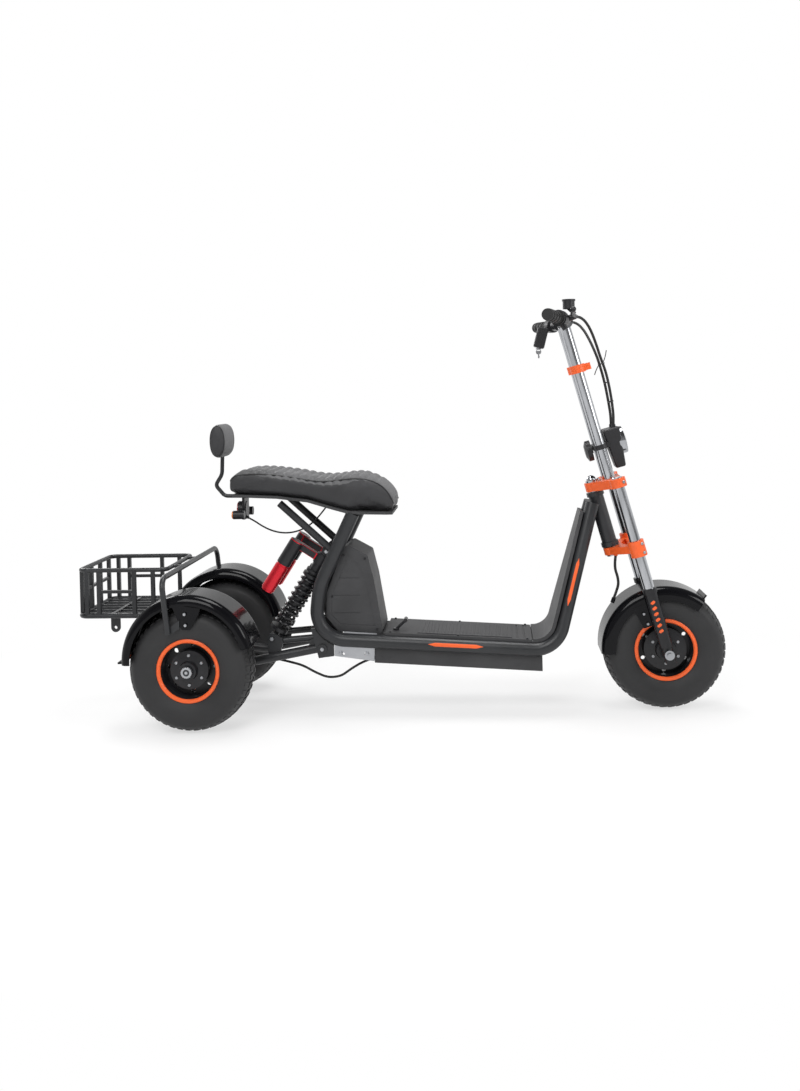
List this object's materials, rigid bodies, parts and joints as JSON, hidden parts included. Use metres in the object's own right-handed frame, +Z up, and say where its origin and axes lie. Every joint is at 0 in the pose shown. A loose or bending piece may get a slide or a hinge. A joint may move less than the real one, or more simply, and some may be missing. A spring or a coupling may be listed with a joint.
{
  "type": "three-wheel electric scooter",
  "caption": "Three-wheel electric scooter with raked fork, long seat, footboard, sprung rear axle, wide fenders and an open tube basket.",
  "frame": {"origin": "on the ground, in the middle of the whole length and width", "axes": "+X forward, +Y to the rider's left, +Z up"},
  "size_m": [1.9184, 0.6806, 1.2074],
  "materials": {
    "frame_paint": "satin black powder coat",
    "board_plastic": "grained dark grey moulding",
    "seat_leather": "matt black synthetic leather",
    "gloss_black": "glossy black moulding",
    "orange_paint": "orange anodised look",
    "chrome": "bright plating",
    "black_metal": "black enamel",
    "spring_steel": "black coated spring",
    "red_anodised": "red anodised",
    "bare_steel": "zinc plated",
    "tyre": "matt black rubber",
    "grip_rubber": "soft black rubber",
    "black_plastic": "black moulding",
    "lamp_glass": "clear lamp cover",
    "red_lens": "clear red moulding",
    "amber_lens": "clear amber moulding"
  },
  "bodies": {
    "frame": {"side_tube_right": "frame_paint", "side_tube_left": "frame_paint", "frame_braces": "frame_paint", "head_tube": "frame_paint", "leg_shield": "board_plastic", "deck_board": "board_plastic", "under_deck_box": "board_plastic", "battery_case": "board_plastic", "seat_pan": "board_plastic", "seat_cushion": "seat_leather", "backrest_rod": "frame_paint", "backrest_pad": "seat_leather", "tail_lamp": "black_plastic", "tail_lens": "red_lens", "turn_lenses": "amber_lens", "swingarm": "frame_paint", "pivot_brackets": "frame_paint", "link_plates": "bare_steel", "rear_axle": "frame_paint", "shock_bodies": "black_metal", "shock_springs": "spring_steel", "shock_reservoirs": "red_anodised", "fender_hoop": "frame_paint", "basket": "frame_paint", "rear_fender_right": "gloss_black", "rear_fender_left": "gloss_black", "brake_pedal": "black_metal", "motor_cable": "grip_rubber", "tail_wire": "grip_rubber"},
    "steering": {"steering_stem": "chrome", "upper_clamp": "orange_paint", "lower_clamp": "orange_paint", "fork_stanchions": "chrome", "fork_lowers": "black_metal", "front_axle": "bare_steel", "risers": "chrome", "riser_brace": "orange_paint", "handlebar": "chrome", "grips": "grip_rubber", "brake_levers": "black_metal", "brake_reservoir": "black_plastic", "throttle": "black_plastic", "steering_hoses": "grip_rubber", "key_pod": "black_plastic", "headlamp": "black_plastic", "headlamp_lens": "lamp_glass", "horn": "black_plastic", "front_fender": "gloss_black"},
    "front_wheel": {"front_tyre": "tyre", "front_rim": "black_metal", "front_rim_lips": "orange_paint"},
    "rear_wheel_right": {"rear_tyre_right": "tyre", "rear_rim_right": "black_metal", "rear_rim_lips_right": "orange_paint"},
    "rear_wheel_left": {"rear_tyre_left": "tyre", "rear_rim_left": "black_metal", "rear_rim_lips_left": "orange_paint"}
  },
  "joints": [
    {"name": "steer", "type": "hinge", "parent": "frame", "child": "steering", "pos_m": [0.71647, 0, 0.16318], "axis": [-0.2588, 0, 0.9659], "range_deg": [-40, 40]},
    {"name": "front_wheel_spin", "type": "hinge", "parent": "steering", "child": "front_wheel", "pos_m": [0.77925, 0, 0.18], "axis": [0, 1, 0], "continuous": true},
    {"name": "rear_right_spin", "type": "hinge", "parent": "frame", "child": "rear_wheel_right", "pos_m": [-0.58775, -0.226, 0.18], "axis": [0, 1, 0], "continuous": true},
    {"name": "rear_left_spin", "type": "hinge", "parent": "frame", "child": "rear_wheel_left", "pos_m": [-0.58775, 0.226, 0.18], "axis": [0, 1, 0], "continuous": true}
  ]
}
